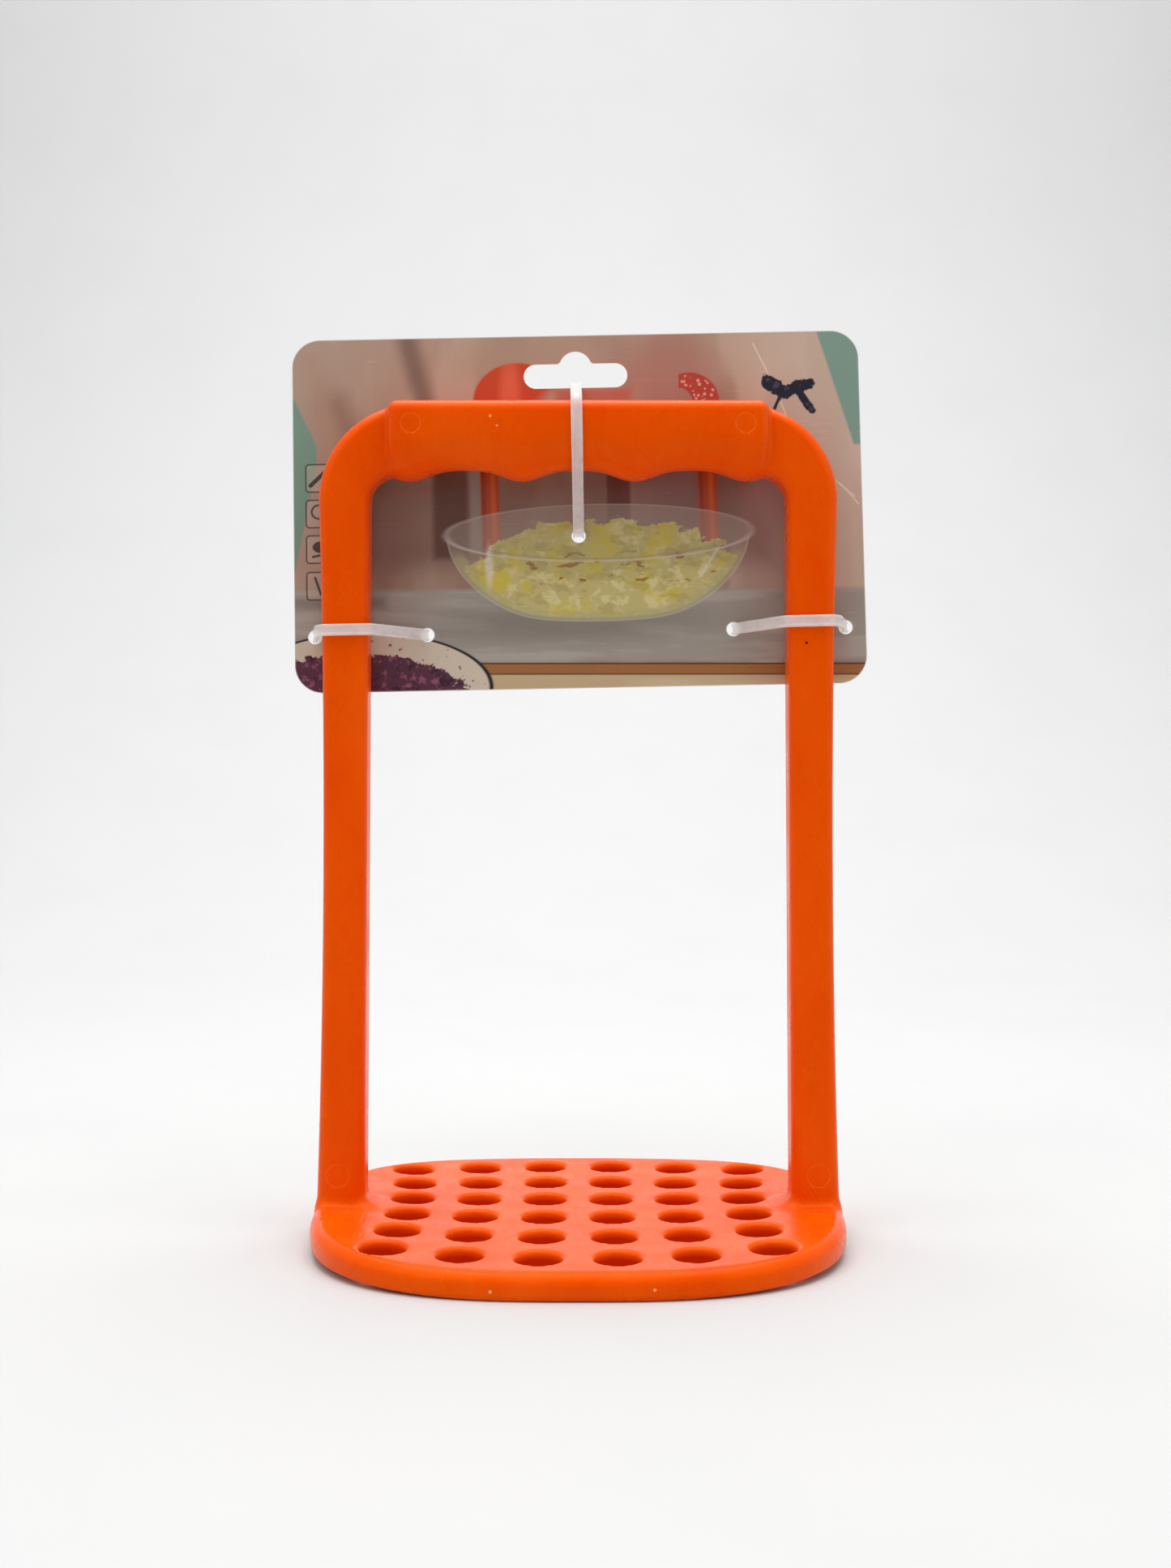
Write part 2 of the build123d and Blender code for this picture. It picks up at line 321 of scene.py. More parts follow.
class Look:
    """A Principled material painted by formulas of the place in a frame of its own, in millimetres."""

    def __init__(self, name, colour, frame=Matrix.Identity(4), **inputs):
        self.mat = bpy.data.materials.new(name)
        self.mat.use_nodes = True
        self.nodes, self.links = self.mat.node_tree.nodes, self.mat.node_tree.links
        self.bsdf = self.nodes["Principled BSDF"]
        for key, value in inputs.items():
            self.bsdf.inputs[key.replace("_", " ")].default_value = value
        self.bsdf.inputs["Base Color"].default_value = colour
        self.colour = colour
        place = self.nodes.new("ShaderNodeVectorMath")
        place.operation = "SCALE"
        place.inputs["Scale"].default_value = 1 / MM
        coords = self.nodes.new("ShaderNodeTexCoord")
        self.links.new(coords.outputs["Object"], place.inputs[0])
        own = self.nodes.new("ShaderNodeMapping")
        own.vector_type = "TEXTURE"
        own.inputs["Location"].default_value = frame.translation / MM
        own.inputs["Rotation"].default_value = frame.to_euler()
        self.links.new(place.outputs[0], own.inputs["Vector"])
        self.place = own.outputs[0]
        split = self.nodes.new("ShaderNodeSeparateXYZ")
        self.links.new(self.place, split.inputs[0])
        self.x, self.y, self.z = (Field(self, out) for out in split.outputs)

    def feed(self, socket, value):
        if isinstance(value, Field):
            self.links.new(value.socket, socket)
        elif isinstance(value, bpy.types.NodeSocket):
            self.links.new(value, socket)
        else:
            socket.default_value = value

    def math(self, operation, *values):
        node = self.nodes.new("ShaderNodeMath")
        node.operation = operation
        for socket, value in zip(node.inputs, values):
            self.feed(socket, value)
        return Field(self, node.outputs[0])

    def least(self, *fields):
        total = fields[0]
        for field in fields[1:]:
            total = self.math("MINIMUM", total, field)
        return total

    def most(self, *fields):
        total = fields[0]
        for field in fields[1:]:
            total = self.math("MAXIMUM", total, field)
        return total

    def length(self, a, b):
        return self.math("SQRT", a * a + b * b)

    def rise(self, field, low, high):
        """0 below low, 1 above high, smooth between."""
        node = self.nodes.new("ShaderNodeMapRange")
        node.interpolation_type = "SMOOTHSTEP"
        self.feed(node.inputs["Value"], field)
        node.inputs["From Min"].default_value = low
        node.inputs["From Max"].default_value = high
        return Field(self, node.outputs["Result"])

    def inside(self, distance, soft=0.15):
        """1 where the distance is below zero, with a soft border this many millimetres wide."""
        return 1 - self.rise(distance, -soft, soft)

    def noise(self, size, detail=2, stretch=(1, 1, 1), shift=0.0, rough=0.5):
        """Cloudy noise from 0 to 1 with grains of this many millimetres."""
        spot = self.nodes.new("ShaderNodeMapping")
        spot.inputs["Scale"].default_value = [s / size for s in stretch]
        spot.inputs["Location"].default_value = (shift, 1.7 * shift, 0.6 * shift)
        self.links.new(self.place, spot.inputs["Vector"])
        node = self.nodes.new("ShaderNodeTexNoise")
        node.inputs["Scale"].default_value = 1
        node.inputs["Detail"].default_value = detail
        node.inputs["Roughness"].default_value = rough
        self.links.new(spot.outputs[0], node.inputs["Vector"])
        return Field(self, node.outputs["Fac"])

    def cells(self, size, stretch=(1, 1, 1), shift=0.0):
        """The distance, in grains, to the nearest of a scatter of points."""
        spot = self.nodes.new("ShaderNodeMapping")
        spot.inputs["Scale"].default_value = [s / size for s in stretch]
        spot.inputs["Location"].default_value = (shift, 1.3 * shift, 0.4 * shift)
        self.links.new(self.place, spot.inputs["Vector"])
        node = self.nodes.new("ShaderNodeTexVoronoi")
        node.inputs["Scale"].default_value = 1
        self.links.new(spot.outputs[0], node.inputs["Vector"])
        return Field(self, node.outputs["Distance"])

    def paint(self, colour, mask):
        """Lay a colour over what is there, where the mask is 1."""
        node = self.nodes.new("ShaderNodeMix")
        node.data_type = "RGBA"
        sockets = [s for s in node.inputs if s.enabled]
        self.feed(sockets[0], mask)
        self.feed(sockets[1], self.colour)
        self.feed(sockets[2], colour)
        self.colour = next(s for s in node.outputs if s.enabled)
        self.links.new(self.colour, self.bsdf.inputs["Base Color"])

    def relief(self, height):
        """Bump the surface by a height in millimetres."""
        node = self.nodes.new("ShaderNodeBump")
        node.inputs["Strength"].default_value = 1
        node.inputs["Distance"].default_value = MM
        self.feed(node.inputs["Height"], height)
        self.links.new(node.outputs["Normal"], self.bsdf.inputs["Normal"])

    # Distances on the card's face, in its own X and Y

    def oval(self, cx, cy, half_x, half_y, wobble=0.0):
        """Distance to an oval's edge, near enough, with the wobble in millimetres taken off it."""
        reach = self.length((self.x - cx) / half_x, (self.y - cy) / half_y)
        return (reach - 1) * min(half_x, half_y) - wobble

    def block(self, left, right, low, high, corner=0.0):
        over_x = abs(self.x - (left + right) / 2) - ((right - left) / 2 - corner)
        over_y = abs(self.y - (low + high) / 2) - ((high - low) / 2 - corner)
        if not corner:
            return self.most(over_x, over_y)
        round_off = self.length(self.most(over_x, 0.0), self.most(over_y, 0.0))
        return round_off + self.least(self.most(over_x, over_y), 0.0) - corner

    def side_of(self, a, b):
        """Distance to the line from a to b, below zero on its right."""
        run = Vector((b[0] - a[0], b[1] - a[1])).normalized()
        return (self.y - a[1]) * run.x - (self.x - a[0]) * run.y

    def stroke(self, a, b, width):
        """Distance to a round-ended line of this width."""
        dx, dy = b[0] - a[0], b[1] - a[1]
        along = ((self.x - a[0]) * dx + (self.y - a[1]) * dy) / (dx * dx + dy * dy)
        along = self.least(self.most(along, 0.0), 1.0)
        return self.length(self.x - a[0] - along * dx, self.y - a[1] - along * dy) - width / 2


def orange_plastic():
    look = Look(
        "orange_polypropylene",
        (0.87, 0.09, 0.0, 1),
        IOR=1.49,
        Specular_IOR_Level=0.24,
        Specular_Tint=(1.0, 0.5, 0.12, 1.0),
        Roughness=0.3,
        Subsurface_Weight=0.35,
        Subsurface_Radius=(1.0, 0.22, 0.05),
        Subsurface_Scale=0.004,
    )
    x, y, z = look.x, look.y, look.z
    # Flow marks: a slow mottle
    flow = look.noise(16, 3, (1, 1, 0.45), 2.0)
    look.paint((0.80, 0.055, 0.0, 1), look.rise(flow, 0.45, 0.75) * 0.55)
    look.paint((0.95, 0.12, 0.004, 1), look.rise(flow, 0.5, 0.3) * 0.4)
    grain = look.noise(1.2, 2, (1, 1, 1), 7.0)
    look.paint((0.80, 0.068, 0.0, 1), look.rise(grain, 0.5, 0.8) * 0.2)
    # Painted shade: the hole walls are painted deep red, for the light that dies quickly inside the holes,
    # what is left of it being red
    painted_hole_shade = look.nodes.new("ShaderNodeAttribute")
    painted_hole_shade.attribute_name = "painted_hole_shade"
    look.paint((0.62, 0.012, 0.0, 1), Field(look, painted_hole_shade.outputs["Fac"]) * 0.85)
    # Pale and dark specks caught in the moulding
    front = look.inside(y + 4.5, 0.1)
    for sx, sz, size, colour in (
        (-18.3, 172.0, 0.28, (1.0, 0.42, 0.16, 1)),
        (-16.9, 170.0, 0.2, (1.0, 0.42, 0.16, 1)),
        (-16.3, 1.9, 0.32, (1.0, 0.42, 0.16, 1)),
        (14.2, 2.3, 0.3, (1.0, 0.42, 0.16, 1)),
        (47.9, 125.0, 0.3, (0.1, 0.008, 0.001, 1)),
    ):
        spot = look.length(x - sx, z - sz) - size
        look.paint(colour, look.inside(spot, 0.12) * front)
    # Paler rims painted round the ejector-pin marks
    for mx, my, mz, size in PIN_MARKS:
        rim = look.inside(abs(look.length(x - mx, z - mz) - size) - 0.08, 0.14)
        look.paint((1.0, 0.2, 0.03, 1), rim * look.inside(abs(y - my) - 0.6, 0.1) * 0.55)
    # Cutter marks of the mould, in patches on the arms
    across = (abs(x) * 0.82 + z * 0.57) * (2 * pi / 1.0)
    hatch = look.math("SINE", across) * 0.02
    patch = look.rise(look.noise(9, 1, (1, 1, 0.6), 4.0), 0.52, 0.62)
    arms = look.rise(abs(x), 41, 43) * look.inside(abs(y) * -1 + 4.6, 0.1)
    height = hatch * patch * arms
    # The join of the mould halves, along the top of the plate
    seam = look.inside(abs(y) - 0.12, 0.25) * look.inside(z - 9, 0.5)
    height = height + seam * 0.05
    # Sink and drag
    height = height + look.noise(14, 1, (1, 1, 0.6), 1.0) * 0.14
    height = height + look.noise(2.6, 1, (1, 1, 0.5), 5.0) * 0.006
    look.relief(height)
    worn = look.rise(look.noise(7, 4, (1, 1, 0.5), 9.0), 0.3, 0.75)
    look.feed(look.bsdf.inputs["Roughness"], 0.24 + worn * 0.12)
    return look.mat


def card_print(frame):
    """A kitchen picture: a bowl of mash on a grey table, with a masher standing behind it."""
    look = Look("printed_face", tint(160, 132, 112), frame, Roughness=0.32, Coat_Weight=0.25)
    look.bsdf.inputs["Coat Roughness"].default_value = 0.12
    x, y = look.x, look.y
    on = look.inside
    # Blurred cloth behind: soft upright folds
    folds = look.noise(15, 2, (1, 0.28, 1), 3.0)
    look.paint(tint(144, 108, 92), look.rise(folds, 0.48, 0.62) * 0.8)
    look.paint(tint(190, 166, 146), look.rise(folds, 0.46, 0.36) * 0.8)
    look.paint(tint(146, 132, 100), on(look.oval(-14, 34, 12, 6), 4.0) * 0.6)
    look.paint(tint(206, 182, 164), on(look.block(38, 66, -30, 45), 7.0) * 0.75)
    look.paint(tint(196, 168, 150), on(look.side_of((56, 40), (32, 28)), 4.0) * 0.45)
    look.paint(tint(170, 116, 102), on(look.oval(20, 30, 10, 9), 4.5) * 0.6)
    look.paint(tint(112, 88, 74), on(look.stroke((-37, 40), (-30, 12), 4.5), 2.0) * 0.75)
    look.paint(tint(132, 94, 76), on(look.stroke((-52, 24), (-44, 8), 5.0), 4.0) * 0.6)
    look.paint(tint(176, 140, 118), on(look.stroke((-58, 34), (-50, 6), 3.0), 2.5) * 0.6)
    # In shade, under the far edge of the grip
    look.paint(tint(120, 84, 74), on(look.block(-50, 42, -12, 9), 4.0) * 0.72)
    look.paint(tint(150, 108, 100), on(look.block(34, 47, -24, 14), 3.0) * 0.5)
    look.paint(tint(176, 134, 126), on(look.oval(42, 4, 5, 7), 3.0) * 0.6)
    look.paint(tint(86, 54, 42), on(look.block(-31.5, -23.8, -10, 12), 1.0) * 0.8)
    look.paint(tint(150, 138, 128), on(look.block(-23.4, -21.0, -9, 12), 0.7) * 0.7)
    look.paint(tint(92, 46, 40), on(look.block(6.3, 11.4, -3.5, 12), 0.5) * 0.8)
    look.paint(tint(138, 100, 96), on(look.block(12.2, 25.5, -2, 12), 1.2) * 0.6)
    look.paint(tint(98, 96, 112), on(look.block(-2, 22, -5.6, -2.6), 1.2) * 0.6)
    # Teal wall at both edges
    teal = tint(120, 150, 132)
    above = look.side_of((-56.0, 14), (-62.5, 28)) * -1
    below = look.side_of((-62.5, -17), (-56.0, 14)) * -1
    look.paint(teal, on(look.most(above, below, x + 56.6), 0.35))
    right_wall = look.side_of((52.6, 39), (60.4, 13)) * -1
    look.paint(tint(126, 154, 140), on(look.most(right_wall, 13.5 - y), 0.3))
    # The printed masher behind: its ladle-like ends, and its posts
    orange = tint(196, 72, 36)
    glow = look.noise(5, 1, (1, 1, 1), 8.0)
    big = look.most(look.oval(-12.8, 24.4, 9.6, 8.4), look.side_of((-21.5, 20), (-12, 31.6)) * -0.15 - 1.2)
    look.paint(orange, on(big, 0.3))
    look.paint(tint(226, 112, 78), on(look.oval(-14.4, 25, 2.2, 8), 1.3) * on(big) * 0.7)
    look.paint(tint(188, 96, 74), on(look.block(-4.5, 12, 21, 26.8), 1.2) * 0.75)
    hook = look.most(look.oval(24.6, 23.6, 6.6, 6.4), look.oval(22.6, 21.4, 3.2, 5.2) * -1)
    hook = look.most(hook, 22.4 - x)
    lace = look.rise(look.cells(1.1), 0.28, 0.42)
    look.paint(tint(176, 66, 52), on(hook, 0.2))
    look.paint(tint(224, 178, 160), on(hook + 0.5, 0.1) * (1 - lace) * 0.8)
    for left, right, low in ((-21.0, -17.0, -10.4), (26.2, 30.4, -8.6)):
        lean_x = (left + right) / 2 - (y * 0.02)
        post = look.most(abs(x - lean_x) - (right - left) / 2, low - y, y - 16)
        look.paint(tint(176, 66, 28), on(post, 0.25) * 0.95)
        look.paint(tint(214, 104, 48), on(look.most(post + 0.8, abs(x - lean_x - 0.7) - 0.5), 0.5) * 0.6)
        look.paint(tint(120, 44, 20), on(abs(x - lean_x + 1.4) - 0.4, 0.4) * on(post) * 0.6)
    # Grey table, with the shadow of the bowl
    grain = look.noise(9, 3, (0.35, 2.2, 1), 6.0)
    table = look.most(y + 17.2 + x * 0.012, look.side_of((-70, -32.0), (70, -33.8)) * -1)
    look.paint(tint(158, 149, 138), on(table, 0.8))
    look.paint(tint(178, 170, 160), on(table, 0.8) * look.rise(grain, 0.45, 0.62) * 0.6)
    look.paint(tint(116, 106, 96), on(look.oval(-4, -24.2, 30, 4.2), 3.0) * on(table, 0.8) * 0.6)
    look.paint(tint(104, 92, 84), on(look.block(-66, -42, -20.5, -18), 1.2) * 0.5)
    # The bowl: its wall, the mash in it, and its rim
    rim = look.oval(4.4, -4.9, 33.2, 6.2)
    wall_low = look.math("SMOOTH_MAX", look.oval(4.2, -4.0, 32.8, 21.8), y * -1 - 24.2, 4.0)
    glass = look.most(wall_low, look.least(rim, y + 5.0))
    look.paint(tint(176, 160, 146), on(glass, 0.3) * 0.4)
    lumps = look.noise(4.2, 3, (1, 1.3, 1), 1.5, 0.6)
    edge = (lumps - 0.5) * 6.5
    heap = look.most(look.oval(5.5, -14.6, 29.5, 12.4, edge), wall_low + 0.7)
    look.paint(tint(196, 182, 118), on(heap, 0.25))
    shade = look.noise(3.0, 3, (1, 1.2, 1), 11.0, 0.65)
    look.paint(tint(226, 214, 158), on(heap, 0.25) * look.rise(shade, 0.48, 0.62) * 0.6)
    butter = look.rise(look.noise(6, 2, shift=4.0), 0.5, 0.66)
    look.paint(tint(206, 186, 52), on(heap, 0.25) * butter * 0.75)
    dim = look.rise(look.noise(3.4, 3, (0.8, 1.4, 1), 81.0), 0.5, 0.62)
    look.paint(tint(168, 152, 92), on(heap + 0.4, 0.4) * dim * 0.55)
    crumb = look.rise(look.noise(2.6, 2, (0.7, 1.5, 1), 14.0), 0.62, 0.68)
    look.paint(tint(150, 98, 60), on(look.most(heap + 1.5, abs(y + 12.5) - 3.4), 0.8) * crumb * 0.9)
    look.paint(tint(150, 142, 96), on(heap, 0.25) * on(look.oval(6, -5, 32, 9), 2.0) * 0.25)
    look.paint(tint(178, 170, 120), on(abs(wall_low + 1.0) - 0.9, 0.5) * on(y + 9, 1.5) * 0.6)
    look.paint(tint(208, 198, 186), on(abs(rim) - 0.12, 0.16) * (0.35 + look.rise(y * -1, 4, 9) * 0.4))
    look.paint(tint(146, 136, 120), on(abs(rim + 0.6) - 0.1, 0.2) * look.rise(y * -1, 5, 9) * 0.6)
    look.paint(tint(214, 204, 190), on(abs(wall_low) - 0.1, 0.16) * on(y + 6, 0.6) * 0.4)
    look.paint(tint(232, 228, 224), on(look.oval(-19.5, -12, 0.8, 4.2), 0.5) * 0.45)
    look.paint(tint(232, 228, 224), on(look.stroke((30, -9), (26, -15), 0.5), 0.3) * 0.4)
    # The wooden front of the table
    trim = look.side_of((-70, -32.0), (70, -34.6))
    look.paint(tint(196, 170, 132), on(trim, 0.2))
    look.paint(tint(212, 190, 156), on(trim + 3.0, 0.8) * look.rise(grain, 0.4, 0.6) * 0.5)
    look.paint(tint(160, 104, 56), on(look.most(trim, trim * -1 - 2.4), 0.25))
    look.paint(tint(44, 28, 20), on(abs(trim) - 0.16, 0.14) * 0.9)
    look.paint(tint(70, 42, 26), on(abs(trim + 2.3) - 0.14, 0.16) * 0.8)
    # A plate of purple mash in the corner
    dish = look.oval(-47, -38, 27.6, 12.2)
    look.paint(tint(206, 192, 172), on(dish, 0.15))
    specks = look.rise(look.noise(1.1, 1, shift=21.0), 0.68, 0.72)
    look.paint(tint(96, 66, 56), on(dish + 0.6, 0.15) * specks * 0.8)
    look.paint(tint(34, 28, 34), on(abs(dish) - 0.2, 0.13))
    rough = (look.noise(2.6, 3, shift=17.0, rough=0.7) - 0.5) * 5
    mash = look.oval(-50, -40.5, 25.5, 10.2, rough)
    look.paint(tint(88, 44, 66), on(mash, 0.2))
    for colour, size, shift in (((150, 84, 108), 1.7, 31.0), ((44, 22, 36), 2.1, 41.0)):
        clump = look.rise(look.noise(size, 3, shift=shift), 0.53, 0.63)
        look.paint(tint(*colour), on(mash + 0.3, 0.3) * clump * 0.8)
    # Four little kitchen signs in rounded frames
    ink = tint(40, 34, 34)
    for centre in (8.2, 0.4, -7.4, -15.4):
        frame_edge = look.block(-59.0, -52.8, centre - 3.0, centre + 3.0, 0.7)
        look.paint(tint(196, 180, 164), on(frame_edge, 0.2) * 0.35)
        look.paint(ink, on(abs(frame_edge) - 0.14, 0.12) * 0.9)
    signs = [
        look.stroke((-58.0, 6.6), (-54.6, 9.8), 0.9),
        abs(look.oval(-56.2, 0.8, 1.6, 1.5)) - 0.2,
        look.stroke((-55.0, -0.6), (-54.2, -1.6), 0.5),
        look.oval(-55.8, -6.9, 1.9, 1.3),
        look.stroke((-57.6, -9.0), (-54.8, -8.4), 0.5),
        look.stroke((-57.2, -13.6), (-56.0, -17.2), 0.5),
        look.stroke((-56.0, -17.2), (-54.0, -16.6), 0.6),
    ]
    look.paint(ink, on(look.least(*signs), 0.14) * 0.9)
    # A navy bow and cream strings
    for a, b in (
        ((38.8, 36.2), (43.3, 26.5)),
        ((43.3, 26.5), (46.5, 18.0)),
        ((53.5, 7.8), (60.1, 2.1)),
        ((50.0, 12.5), (53.5, 7.8)),
        ((56.8, 5.2), (60.9, 0.4)),
    ):
        look.paint(tint(222, 206, 180), on(look.stroke(a, b, 0.32), 0.14) * 0.9)
    ruffle = (look.noise(1.8, 3, shift=51.0) - 0.5) * 2.4
    bow = look.least(
        look.stroke((41.8, 27.6), (45.4, 25.4), 3.0) - ruffle,
        look.stroke((46.4, 25.8), (50.6, 27.0), 2.6) - ruffle,
        look.stroke((45.0, 25.4), (43.2, 21.8), 0.8) - ruffle * 0.4,
        look.stroke((48.6, 25.0), (51.4, 21.2), 1.7) - ruffle * 0.6,
    )
    look.paint(tint(30, 28, 44), on(bow, 0.2))
    sheen = look.rise(look.noise(1.4, 2, shift=61.0), 0.52, 0.62)
    look.paint(tint(74, 72, 96), on(bow + 0.5, 0.3) * sheen * 0.7)
    # Bare paper round the punched holes and at the trimmed edge
    paper = tint(232, 228, 222)
    bare = [look.oval(side * inner, SIDE_RISE, HOLE_R, HOLE_R) for side in (-1, 1) for inner in SIDE_HOLES]
    bare.append(look.oval(0, MIDDLE_RISE, HOLE_R, HOLE_R))
    look.paint(paper, on(look.least(*bare) - 0.14, 0.1) * 0.7)
    half_x, half_y = CARD_SIZE[0] / 2, CARD_SIZE[1] / 2
    trimmed = look.block(-half_x, half_x, -half_y, half_y, CARD_CORNER)
    look.paint(paper, (1 - on(trimmed + 0.16, 0.1)) * 0.6)
    # Halftone, faint handling marks and the slow waves of the laminate
    dots = look.math("SINE", (x + y) * 14.0) * look.math("SINE", (x - y) * 14.0)
    look.paint(tint(92, 78, 70), look.rise(dots, 0.2, 0.9) * 0.05)
    scuffs = look.rise(look.noise(9, 5, (0.25, 3.0, 1), 71.0, 0.7), 0.62, 0.72)
    look.feed(look.bsdf.inputs["Roughness"], 0.26 + scuffs * 0.16)
    height = look.noise(38, 1, (1.4, 0.5, 1), 4.0) * 0.7 + look.noise(6, 1, shift=2.0) * 0.012
    look.relief(height)
    return look.mat


def card_board(frame):
    """The bare grey-white back of the card."""
    look = Look("board_back", tint(206, 202, 194), frame, Roughness=0.7)
    fibres = look.noise(0.9, 4, (0.5, 2.0, 1), 3.0, 0.7)
    look.paint(tint(178, 172, 162), look.rise(fibres, 0.5, 0.75) * 0.6)
    look.paint(tint(224, 222, 216), look.rise(look.noise(18, 3), 0.5, 0.7) * 0.5)
    flecks = look.rise(look.noise(0.7, 1, shift=13.0), 0.7, 0.74)
    look.paint(tint(128, 118, 106), flecks * 0.6)
    look.relief(fibres * 0.02)
    return look.mat


def card_edge(frame):
    look = Look("board_edge", tint(238, 235, 229), frame, Roughness=0.75)
    plies = look.math("SINE", look.z * (2 * pi / 0.16))
    look.paint(tint(206, 200, 190), look.rise(plies, 0.2, 0.9) * 0.5)
    look.relief(look.noise(0.4, 2) * 0.03)
    return look.mat


def clear_nylon():
    """Natural nylon: milky, and clearest where it is thin."""
    look = Look(
        "natural_nylon",
        (0.93, 0.9, 0.88, 1),
        Roughness=0.32,
        IOR=1.53,
        Subsurface_Weight=0.5,
        Subsurface_Radius=(1.0, 0.9, 0.8),
        Subsurface_Scale=0.0015,
    )
    cloud = look.noise(2.2, 3, shift=5.0)
    look.paint((0.82, 0.79, 0.76, 1), look.rise(cloud, 0.4, 0.7) * 0.5)
    look.relief(look.noise(0.8, 3, shift=9.0) * 0.03)
    look.feed(look.bsdf.inputs["Roughness"], 0.24 + cloud * 0.2)
    look.feed(look.bsdf.inputs["Alpha"], 0.36 + cloud * 0.3)
    return look.mat


# Pieces


def mesh_piece(name, verts, faces, materials, place=Matrix.Identity(4)):
    """A piece of the object, from points in millimetres in the frame that place gives."""
    turned = np.array(place.to_3x3()) @ np.asarray(verts).T
    verts = turned.T + np.array(place.translation) / MM
    mesh = bpy.data.meshes.new(name)
    mesh.from_pydata((verts * MM).tolist(), [], [list(face) for face in faces])
    mesh.shade_smooth()
    for material in materials:
        mesh.materials.append(material)
    piece = bpy.data.objects.new(name, mesh)
    bpy.context.collection.objects.link(piece)
    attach(piece, "root")
    return piece


def card_place():
    """The card's own frame: it leans back on the arms and hangs a little out of level."""
    lean = Matrix.Rotation(radians(90 - CARD_LEAN), 4, "X")
    turn = Matrix.Rotation(radians(CARD_TURN), 4, "Z")
    return Matrix.Translation((0, CARD_BACK * MM, CARD_HEIGHT * MM)) @ lean @ turn


def marked(p):
    """The masher with the ejector pins' shallow marks: a low disc inside a fine groove."""
    d = masher(p)
    for x, y, z, size in PIN_MARKS:
        off = np.hypot(p[:, 0] - x, p[:, 2] - z) - size
        disc = PIN_DISC * np.clip(0.5 - off / 0.3, 0, 1)
        groove = PIN_GROOVE * np.clip(1 - np.abs(off) / 0.22, 0, 1)
        d = d + (disc + groove) * (np.abs(p[:, 1] - y) < 1)
    return d


def press_marks(mesh):
    """Cut the faces under the pin marks finer, and press the marks into them."""
    bm = bmesh.new()
    bm.from_mesh(mesh)
    spots = [(Vector((x, y, z)) * MM, (size + 0.8) * MM) for x, y, z, size in PIN_MARKS]
    edges = [e for e in bm.edges if any((v - p).length < r for p, r in spots for v in [e.verts[0].co])]
    bmesh.ops.subdivide_edges(bm, edges=edges, cuts=4, use_grid_fill=True)
    bmesh.ops.triangulate(bm, faces=[f for f in bm.faces if len(f.verts) > 4])
    bm.to_mesh(mesh)
    bm.free()
    mesh.shade_smooth()
    verts = np.empty(len(mesh.vertices) * 3)
    mesh.vertices.foreach_get("co", verts)
    verts = verts.reshape(-1, 3) / MM
    near = np.any([np.linalg.norm(verts - m[:3], axis=1) < m[3] + 1.6 for m in np.array(PIN_MARKS)], axis=0)
    for _ in range(3):
        slope = slope_of(marked, verts[near])
        verts[near] -= slope * (marked(verts[near]) / (slope**2).sum(1))[:, None]
    mesh.vertices.foreach_set("co", (verts * MM).ravel())
    return verts


def make_masher():
    cell = MASHER_CELL
    low = (-PLATE_HALF[0] - 1.5, -PLATE_HALF[1] - 1.5, -1.3)
    high = (PLATE_HALF[0] + 1.5, PLATE_HALF[1] + 1.5, GRIP_TOP + 1.5)
    verts, faces = surface_net(masher, low, high, cell)
    piece = mesh_piece("masher", verts, faces, [orange_plastic()])
    verts = press_marks(piece.data)
    normals = slope_of(marked, verts)
    normals /= np.linalg.norm(normals, axis=1, keepdims=True)
    piece.data.normals_split_custom_set_from_vertices(normals.tolist())
    # Where the hole walls' painted shade goes: below the lip, inside each hole
    nearest = np.min([np.hypot(verts[:, 0] - x, verts[:, 1] - y) for x, y in hole_centres()], axis=0)
    depth = np.clip((PLATE_THICK + plate_rise(verts[:, 0]) - HOLE_LIP - verts[:, 2]) / 0.8, 0, 1)
    painted_hole_shade = piece.data.attributes.new("painted_hole_shade", "FLOAT", "POINT")
    painted_hole_shade.data.foreach_set("value", (depth * (nearest < HOLE_RADIUS + 0.3)).astype(np.float32))
    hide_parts("press_plate", "left_arm", "right_arm", "grip")


def card_shape(x, y):
    """Signed distance to the card's outline, with its slot and holes cut out."""
    half_x, half_y = CARD_SIZE[0] / 2 - CARD_CORNER, CARD_SIZE[1] / 2 - CARD_CORNER
    over_x, over_y = np.abs(x) - half_x, np.abs(y) - half_y
    sheet = np.hypot(np.maximum(over_x, 0), np.maximum(over_y, 0)) - CARD_CORNER
    sheet = sheet + np.minimum(np.maximum(over_x, over_y), 0)
    length, height, rise = SLOT
    reach = np.maximum(np.abs(x) - (length - height) / 2, 0)
    slot = np.hypot(reach, y - rise) - height / 2
    bump = np.hypot(x, y - SLOT_BUMP[0]) - SLOT_BUMP[1]
    cut = np.minimum(slot, bump)
    for side in (-1, 1):
        for inner in SIDE_HOLES:
            cut = np.minimum(cut, np.hypot(x - side * inner, y - SIDE_RISE) - HOLE_R)
    cut = np.minimum(cut, np.hypot(x, y - MIDDLE_RISE) - HOLE_R)
    return np.maximum(sheet, -cut)


